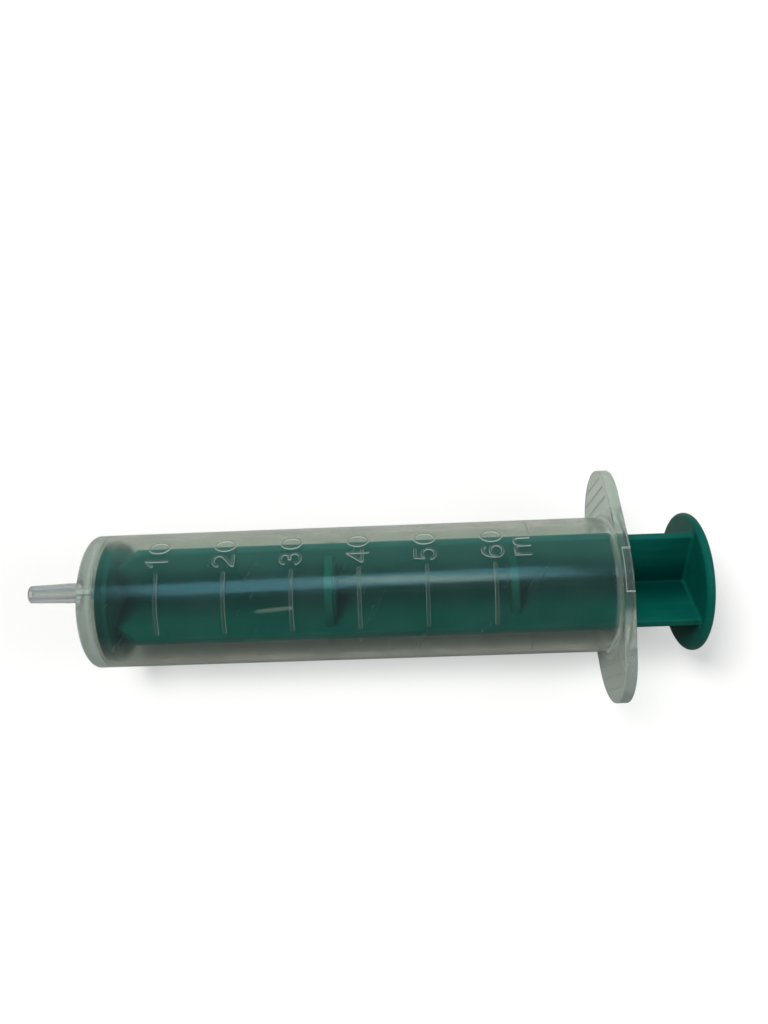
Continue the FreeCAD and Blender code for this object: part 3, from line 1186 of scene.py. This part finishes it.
@dataclass
class StrokeMesh:
    """Gathers strokes into one mesh.

    Attributes:
        surface: Gives the point over two places on the surface and a height.
        width: A stroke's full width.
        height: How far it stands over the surface.
        sink: How far its underside lies in the surface.
        square: From 0 for a half round section towards 1 for a flat top.
    """

    surface: Surface
    width: float
    height: float
    sink: float = 0.03
    square: float = 0.35
    section_steps: int = 10
    cap_steps: int = 5
    cap_bluntness: float = 0.3
    points: list[Vector] = field(default_factory=list)
    faces: list[Face] = field(default_factory=list)

    @property
    def section_size(self) -> int:
        """How many corners a section has: its round, and two under it."""
        return self.section_steps + 3

    def section(self, share: float) -> list[Corner]:
        """The outline across a stroke.

        Args:
            share: The section's share of the full width, which falls to 0 at a rounded end.

        Returns:
            Its corners: the place across, and the height.
        """
        power = 1.0 - self.square
        corners = []
        for step in range(self.section_steps + 1):
            angle = math.pi * step / self.section_steps
            level = math.copysign(abs(math.cos(angle)) ** power, math.cos(angle))
            rise = math.sin(angle) ** power if 0 < step < self.section_steps else 0.0
            corners.append((level * self.width / 2.0 * share, rise * self.height * share ** 0.5))
        half = self.width / 2.0 * share
        return corners + [(-half, -self.sink), (half, -self.sink)]

    def add_loop(self, middle: Vector, way: Vector, share: float) -> int:
        """Add one section to the mesh.

        Args:
            middle: The path's place.
            way: The path's direction there.
            share: The section's share of the full width.

        Returns:
            The number of its first corner.
        """
        first = len(self.points)
        side = Vector((-way.y, way.x))
        for across, height in self.section(share):
            spot = middle + side * across
            self.points.append(self.surface(spot.x, spot.y, height))
        return first

    def join(self, loops: Sequence[int]) -> None:
        """Skin the space between sections in a row, by the numbers of their first corners."""
        for first, second in zip(loops, loops[1:]):
            self.faces += bridge(first, second, self.section_size)

    def end_loops(self, middle: Vector, way: Vector, outward: float) -> list[int]:
        """Add the sections of a rounded end.

        Args:
            middle: The path's last place.
            way: The path's direction there.
            outward: 1 at the path's end and -1 at its beginning.

        Returns:
            The numbers of their first corners, from the stroke's full width outwards.
        """
        loops = []
        for step in range(1, self.cap_steps + 1):
            angle = math.pi / 2.0 * step / (self.cap_steps + self.cap_bluntness)
            ahead = way * (outward * self.width / 2.0 * math.sin(angle))
            loops.append(self.add_loop(middle + ahead, way, math.cos(angle)))
        return loops

    def add(self, stroke: Stroke) -> None:
        """Sweep one stroke into the mesh.

        Args:
            stroke: The stroke.
        """
        ways = stroke.directions()
        middles = [Vector(place) for place in stroke.path]
        loops = [self.add_loop(middle, way, 1.0) for middle, way in zip(middles, ways)]
        if stroke.closed:
            self.join(loops + loops[:1])
            return
        start = self.end_loops(middles[0], ways[0], -1.0)
        finish = self.end_loops(middles[-1], ways[-1], 1.0)
        whole = start[::-1] + loops + finish
        self.join(whole)
        self.faces += [tuple(range(end, end + self.section_size)) for end in (whole[0], whole[-1])]

    def piece(self, name: str, material: Material) -> Piece:
        """Make one clear piece of the barrel of everything that was added.

        Args:
            name: The piece's name.
            material: The clear plastic.

        Returns:
            The piece.
        """
        made = add_piece(name, self.points, self.faces, sharp_deg=50.0)
        dress(made, material, Body.BARREL, Slot.CLEAR)
        return made


def line(*corners: Corner, step: float = 0.4) -> list[Corner]:
    """Straight stretches between corners, cut into short steps so that they bend with the surface.

    Args:
        corners: Where the stretches meet.
        step: About how long each step is.

    Returns:
        The places in order.
    """
    path = [corners[0]]
    for first, last in zip(corners, corners[1:]):
        count = max(1, round(math.dist(first, last) / step))
        for number in range(1, count + 1):
            share = number / count
            path.append((first[0] + (last[0] - first[0]) * share, first[1] + (last[1] - first[1]) * share))
    return path


RING_END_DEG = 351.0


def bow(centre: Corner, wide: float, tall: float, first_deg: float, last_deg: float) -> list[Corner]:
    """Places along an upright ellipse.

    Args:
        centre: Its centre.
        wide: Half its width.
        tall: Half its height.
        first_deg: Where it starts, counted from the right anticlockwise.
        last_deg: Where it ends.

    Returns:
        The places in order.
    """
    count = max(4, round(abs(last_deg - first_deg) / 9.0))
    path = []
    for number in range(count + 1):
        angle = math.radians(first_deg + (last_deg - first_deg) * number / count)
        path.append((centre[0] + wide * math.cos(angle), centre[1] + tall * math.sin(angle)))
    return path


def plain_figures(tall: float = 4.5) -> dict[str, list[Stroke]]:
    """Draw plain figures, in millimetres from the foot of each one's left side.

    Args:
        tall: How tall they are.

    Returns:
        The strokes of 0 to 6 and of a small m, by the figure.
    """
    top = bow((1.45, 3.15), 1.42, 1.35, 165.0, -32.0)
    bowl = bow((1.35, 1.45), 1.42, 1.45, 140.0, -155.0)
    paths = {
        "0": [],
        "1": [line((1.9, 0.0), (1.9, tall)), line((1.75, tall - 0.1), (0.6, 3.25))],
        "2": [top + line(top[-1], (0.1, 0.15))[1:], line((0.1, 0.0), (2.95, 0.0))],
        "3": [bow((1.35, 3.4), 1.25, 1.1, 165.0, -95.0), bow((1.4, 1.25), 1.42, 1.25, 95.0, -165.0)],
        "4": [
            line((2.15, tall - 0.1), (0.05, 1.35)),
            line((0.05, 1.2), (3.1, 1.2)),
            line((2.35, tall), (2.35, 0.0)),
        ],
        "5": [line((2.6, tall), (0.45, tall), bowl[0]) + bowl[1:]],
        "6": [bow((1.6, 1.75), 1.55, 2.75, 52.0, 176.0)],
        "m": [line((0.0, 0.0), (0.0, 3.35))],
    }
    for left in (0.0, 2.35):
        bend = bow((left + 1.25, 2.3), 1.1, 1.0, 160.0, 0.0)
        paths["m"].append(bend + line((left + 2.35, 2.3), (left + 2.35, 0.0))[1:])
    figures = {name: [Stroke(path) for path in parts] for name, parts in paths.items()}
    rings = {"0": ((1.75, tall / 2.0), 1.75, tall / 2.0), "6": ((1.55, 1.4), 1.5, 1.4)}
    for name, (centre, wide, high) in rings.items():
        figures[name].append(Stroke(bow(centre, wide, high, 0.0, RING_END_DEG), closed=True))
    return figures


@dataclass
class Scale:
    """The raised scale on the tube: six lines, their numbers and the unit."""

    barrel: Barrel
    mark_count: int = 6
    first_mark_x: float = 17.9396
    mark_pitch: float = 15.1396
    mark_low_deg: float = -41.5
    mark_high_deg: float = 10.5
    mark_width: float = 0.8
    stroke_width: float = 0.62
    relief: float = 0.18
    number_deg: float = 15.2
    zero_deg: float = 31.0
    foot_offset: float = 2.0
    unit_x: float = 101.75
    unit_deg: float = 16.6

    def marks(self, material: Material) -> Piece:
        """The six lines, as one piece.

        Args:
            material: The clear plastic.

        Returns:
            The piece.
        """
        strokes = StrokeMesh(self.barrel.on_tube, self.mark_width, self.relief, square=0.5)
        for number in range(self.mark_count):
            x = self.first_mark_x + number * self.mark_pitch
            radius = self.barrel.tube.radius_at(x)
            inset = self.mark_width / 2.0
            low = math.radians(self.mark_low_deg) * radius + inset
            high = math.radians(self.mark_high_deg) * radius - inset
            strokes.add(Stroke(line((x, low), (x, high), step=0.3)))
        return strokes.piece("scale_marks", material)

    def laid(self, stroke: Stroke, foot_x: float, start_deg: float) -> Stroke:
        """A stroke as it is read, laid on the tube towards +Y with its top towards the nozzle."""
        start = math.radians(start_deg) * self.barrel.tube.radius_at(foot_x)
        return Stroke([(foot_x - up, start + right) for right, up in stroke.path], stroke.closed)

    def numbers(self, material: Material) -> Piece:
        """The numbers 10 to 60 and the unit, as one piece.

        Args:
            material: The clear plastic.

        Returns:
            The piece.
        """
        placed = []
        for number in range(self.mark_count):
            foot_x = self.first_mark_x + number * self.mark_pitch + self.foot_offset
            placed += [(str(number + 1), foot_x, self.number_deg), ("0", foot_x, self.zero_deg)]
        placed.append(("m", self.unit_x, self.unit_deg))
        figures = plain_figures()
        strokes = StrokeMesh(self.barrel.on_tube, self.stroke_width, self.relief)
        for name, foot_x, start_deg in placed:
            for stroke in figures[name]:
                strokes.add(self.laid(stroke, foot_x, start_deg))
        return strokes.piece("scale_numbers", material)


@dataclass
class GripRibs:
    """The low straight ribs across the front of both finger wings."""

    barrel: Barrel
    count: int = 3
    pitch: float = 2.9
    width: float = 0.6
    height: float = 0.16
    tip_gap: float = 3.3
    end_gap: float = 1.6

    def build(self, material: Material) -> Piece:
        """All six ribs, as one piece.

        Args:
            material: The clear plastic.

        Returns:
            The piece.
        """
        strokes = StrokeMesh(self.barrel.on_flange_front, self.width, self.height, square=0.2)
        outermost = self.barrel.tip_offset + self.barrel.tip_radius - self.tip_gap
        for number in range(self.count):
            place = outermost - number * self.pitch
            reach = place - self.barrel.tip_offset
            half = math.sqrt(self.barrel.tip_radius ** 2 - reach ** 2) - self.end_gap - self.width / 2.0
            for side in (-1.0, 1.0):
                strokes.add(Stroke(line((side * place, -half), (side * place, half), step=1.0)))
        return strokes.piece("grip_ribs", material)


# Plunger

@dataclass
class Plunger:
    """The green moulding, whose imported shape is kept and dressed."""

    node: Piece
    barrel: Barrel
    lip_x: float = 4.1
    disc_thickness: float = 2.0

    def finish(self) -> GreenPlastic:
        """The green plastic, with the places of the lip and of the thumb disc."""
        disc_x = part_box(Body.PLUNGER.value)[1].x / MM - self.disc_thickness
        return GreenPlastic(self.barrel.nose_x + self.lip_x, disc_x, self.barrel.axis_height)

    def build(self, material: Material) -> Piece:
        """Give the plunger its plastic.

        Args:
            material: The green plastic.

        Returns:
            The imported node.
        """
        self.node.data.materials.clear()
        self.node.data.materials.append(material)
        LOG.info("%s: packed shape kept, dressed in %s", self.node.name, material.name)
        return self.node


@dataclass
class WebRim:
    """The rim of the front web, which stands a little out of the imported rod."""

    barrel: Barrel
    middle_x: float = 56.2
    half_width: float = 1.0
    radius: float = 12.1
    inner_radius: float = 10.6
    edge: float = 0.25
    edge_steps: int = 4
    turn_steps: int = 128

    def outline(self) -> list[Corner]:
        """The corners of its section.

        Returns:
            The place along the axis and the distance from it, of each corner.
        """
        front, back = self.middle_x - self.half_width, self.middle_x + self.half_width
        top, edge, steps = self.radius - self.edge, self.edge, self.edge_steps
        corners = [(back, self.inner_radius), (front, self.inner_radius)]
        corners += arc_corners((front + edge, top), edge, 180.0, 90.0, steps)
        return corners + arc_corners((back - edge, top), edge, 90.0, 0.0, steps)

    def build(self, material: Material) -> Piece:
        """Turn the section round the axis and dress it.

        Args:
            material: The green plastic.

        Returns:
            The rim.
        """
        loops = []
        for step in range(self.turn_steps):
            angle = 2.0 * math.pi * step / self.turn_steps
            loops.append([self.barrel.round_axis(x, reach, angle) for x, reach in self.outline()])
        piece = add_piece("rod_web_rim", *skinned(loops), sharp_deg=40.0)
        dress(piece, material, Body.PLUNGER, Slot.GREEN)
        return piece


# Studio

@dataclass
class Softbox:
    """One soft lamp that faces the syringe.

    Sizes and places are in metres and the power is in watts. A mirrored lamp shows only as a
    reflection, and any other only lights. turn_deg turns the lamp about its own middle.
    """

    name: str
    place: Vector
    wide: float
    tall: float
    power: float
    color: Rgb
    mirrored: bool = False
    turn_deg: float = 0.0

    def build(self, aim: Vector) -> Piece:
        """Add the lamp to the scene.

        Args:
            aim: The place that it faces.

        Returns:
            The lamp.
        """
        lamp = bpy.data.lights.new(self.name, "AREA")
        lamp.shape = "RECTANGLE"
        lamp.size = self.wide
        lamp.size_y = self.tall
        lamp.energy = self.power
        lamp.color = self.color
        holder = bpy.data.objects.new(self.name, lamp)
        holder.location = self.place
        facing = (aim - self.place).to_track_quat("-Z", "Y")
        spin = Quaternion((0.0, 0.0, 1.0), math.radians(self.turn_deg))
        holder.rotation_euler = (facing @ spin).to_euler()
        holder.visible_glossy = self.mirrored
        holder.visible_transmission = self.mirrored
        holder.visible_diffuse = not self.mirrored
        bpy.context.scene.collection.objects.link(holder)
        LOG.info("%s: %.1f W", self.name, self.power)
        return holder


@dataclass
class Studio:
    """The pale table, the soft lamps, the surroundings and the camera.

    The camera's sizes are in millimetres and in pixels of the photograph. The table's are in metres,
    and so are the camera's clip and how far the mirrored lamps hang over the axis. What is mirrored
    of the surroundings is dim overhead, a little brighter near the table, and brightest on the
    window's side, towards +Y.
    """

    barrel: Barrel
    camera_place: tuple[float, float, float] = (8.223, -34.647, 204.236)
    camera_aim: tuple[float, float, float] = (4.259, 19.848, 17.3)
    camera_roll_deg: float = -1.789
    focal_pixels: float = 788.24
    picture_tall: int = 1024
    sensor: float = 36.0
    clip: Step = (0.005, 20.0)
    floor_half: float = 3.0
    band_turn_deg: float = 8.5
    band_distance: float = 0.42
    ambient: float = 0.28
    ambient_color: Rgb = (0.93, 0.97, 1.0)
    horizon: float = 1.0
    overhead: float = 0.06
    low_glow: float = 0.30
    low_glow_top: float = 0.06
    window: float = 0.70
    window_side: Step = (0.3, 0.8)
    window_color: Rgb = (0.36, 0.96, 0.87)

    def floor(self) -> Piece:
        """The table top, leant so that it carries both the flange and the nose of the tube.

        Returns:
            The table top.
        """
        barrel = self.barrel
        lean = math.atan2(barrel.flange_radius - barrel.tube.nose_radius, barrel.tube.flange_x)
        half = self.floor_half
        mesh = bpy.data.meshes.new("table_top")
        corners = [(-half, -half, 0.0), (half, -half, 0.0), (half, half, 0.0), (-half, half, 0.0)]
        mesh.from_pydata(corners, [], [(0, 1, 2, 3)])
        mesh.materials.append(PaleFloor().material())
        floor = bpy.data.objects.new("table_top", mesh)
        floor.location = ((barrel.nose_x + barrel.tube.flange_x) * MM, 0.0, 0.0)
        floor.rotation_euler = (0.0, lean, 0.0)
        bpy.context.scene.collection.objects.link(floor)
        return floor

    def world(self) -> None:
        """Pale surroundings near the horizon and dimmer ones overhead, with an even ambient light."""
        world = bpy.data.worlds.new("studio_world")
        world.use_nodes = True
        bpy.context.scene.world = world
        graph = ShaderGraph(world.node_tree)
        way = graph.node("ShaderNodeTexCoord").outputs["Generated"]
        sides = graph.node("ShaderNodeSeparateXYZ", {"Vector": way}).outputs
        up = Value(graph, sides["Z"])
        paths = graph.node("ShaderNodeLightPath").outputs
        straight = Value(graph, paths["Is Camera Ray"])
        window = Value(graph, sides["Y"]).ramp(*self.window_side) * self.window
        dim = up.ramp(self.low_glow_top, 0.0) * self.low_glow + window + self.overhead
        seen_level = straight * self.horizon + (1.0 - straight) * dim
        seen_color = graph.mixed_color(straight, self.window_color, (1.0, 1.0, 1.0))
        seen = graph.node("ShaderNodeBackground", {"Color": seen_color, "Strength": seen_level})
        even_color = graph.opaque(self.ambient_color)
        even = graph.node("ShaderNodeBackground", {"Color": even_color, "Strength": self.ambient})
        mixed = graph.mixed_shader(seen_ray(graph), even.outputs["Background"], seen.outputs["Background"])
        graph.show(mixed, "ShaderNodeOutputWorld")

    def softboxes(self) -> list[Softbox]:
        """The lamps: two that light the syringe, and two over the tube that are mirrored in it.

        Returns:
            The lamps, not yet in the scene.
        """
        turn = math.radians(self.band_turn_deg)
        level = self.barrel.axis_height * MM + self.band_distance * math.cos(turn)
        side = self.band_distance * math.sin(turn)
        over, beyond = Vector((-0.03, side, level)), Vector((0.022, side, level))
        main, fill = Vector((-0.27, 0.155, 0.76)), Vector((0.50, -0.06, 0.34))
        return [
            Softbox("main_softbox", main, 0.27, 0.27, 6.3, (1.0, 0.99, 0.96)),
            Softbox("strip_softbox", over, 0.33, 0.14, 0.34, (0.28, 0.78, 1.0), True, turn_deg=-12.0),
            Softbox("pane_softbox", beyond, 0.12, 0.07, 0.05, (1.0, 0.95, 0.60), True),
            Softbox("fill_softbox", fill, 0.30, 0.30, 1.0, (0.96, 1.0, 1.0)),
        ]

    def camera(self) -> Piece:
        """The camera at the photograph's place and angle.

        Returns:
            The camera.
        """
        place = Vector(self.camera_place) * MM
        forward = (Vector(self.camera_aim) * MM - place).normalized()
        right = forward.cross(Vector((0.0, 1.0, 0.0))).normalized()
        up = right.cross(forward)
        roll = math.radians(self.camera_roll_deg)
        rolled_right = right * math.cos(roll) + up * math.sin(roll)
        rolled_up = up * math.cos(roll) - right * math.sin(roll)
        turned = Matrix((rolled_right, rolled_up, -forward)).transposed().to_4x4()
        lens = bpy.data.cameras.new("photo_camera")
        lens.sensor_width = self.sensor
        lens.lens = self.focal_pixels / self.picture_tall * self.sensor
        lens.clip_start, lens.clip_end = self.clip
        holder = bpy.data.objects.new("photo_camera", lens)
        holder.matrix_world = Matrix.Translation(place) @ turned
        bpy.context.scene.collection.objects.link(holder)
        bpy.context.scene.camera = holder
        return holder

    def build(self) -> None:
        """Set up everything that isn't the syringe."""
        self.floor()
        self.world()
        middle = Vector((0.0, 0.0, self.barrel.axis_height * MM))
        for lamp in self.softboxes():
            lamp.build(middle)
        self.camera()
        bpy.context.scene.view_settings.view_transform = "Standard"
        LOG.info("studio: floor, world, lamps and camera are in place")


def main() -> None:
    """Build every piece in order."""
    logging.basicConfig(level=logging.INFO, format="%(name)s: %(message)s")
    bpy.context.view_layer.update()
    barrel = Barrel(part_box("barrel"))
    clear = ClearPlastic(barrel)
    # The figures and lines get painted highlights along their steep sides.
    stroke_haze_and_highlight = (0.76, 0.85, 0.80)
    figures = replace(
        clear, name="figure_clear_plastic", haze=stroke_haze_and_highlight, milkiness=Milkiness(stroke_side_highlight=0.75)
    )
    lines = replace(figures, name="line_clear_plastic", milkiness=Milkiness(stroke_side_highlight=0.5))
    tube_plastic = clear.material()
    barrel.build(tube_plastic)
    scale = Scale(barrel)
    scale.marks(lines.material())
    scale.numbers(figures.material())
    GripRibs(barrel).build(tube_plastic)
    plunger = Plunger(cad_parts["plunger"], barrel)
    green = plunger.finish().material()
    plunger.build(green)
    WebRim(barrel).build(green)
    Studio(barrel).build()
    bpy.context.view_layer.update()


if __name__ == "__main__":
    main()
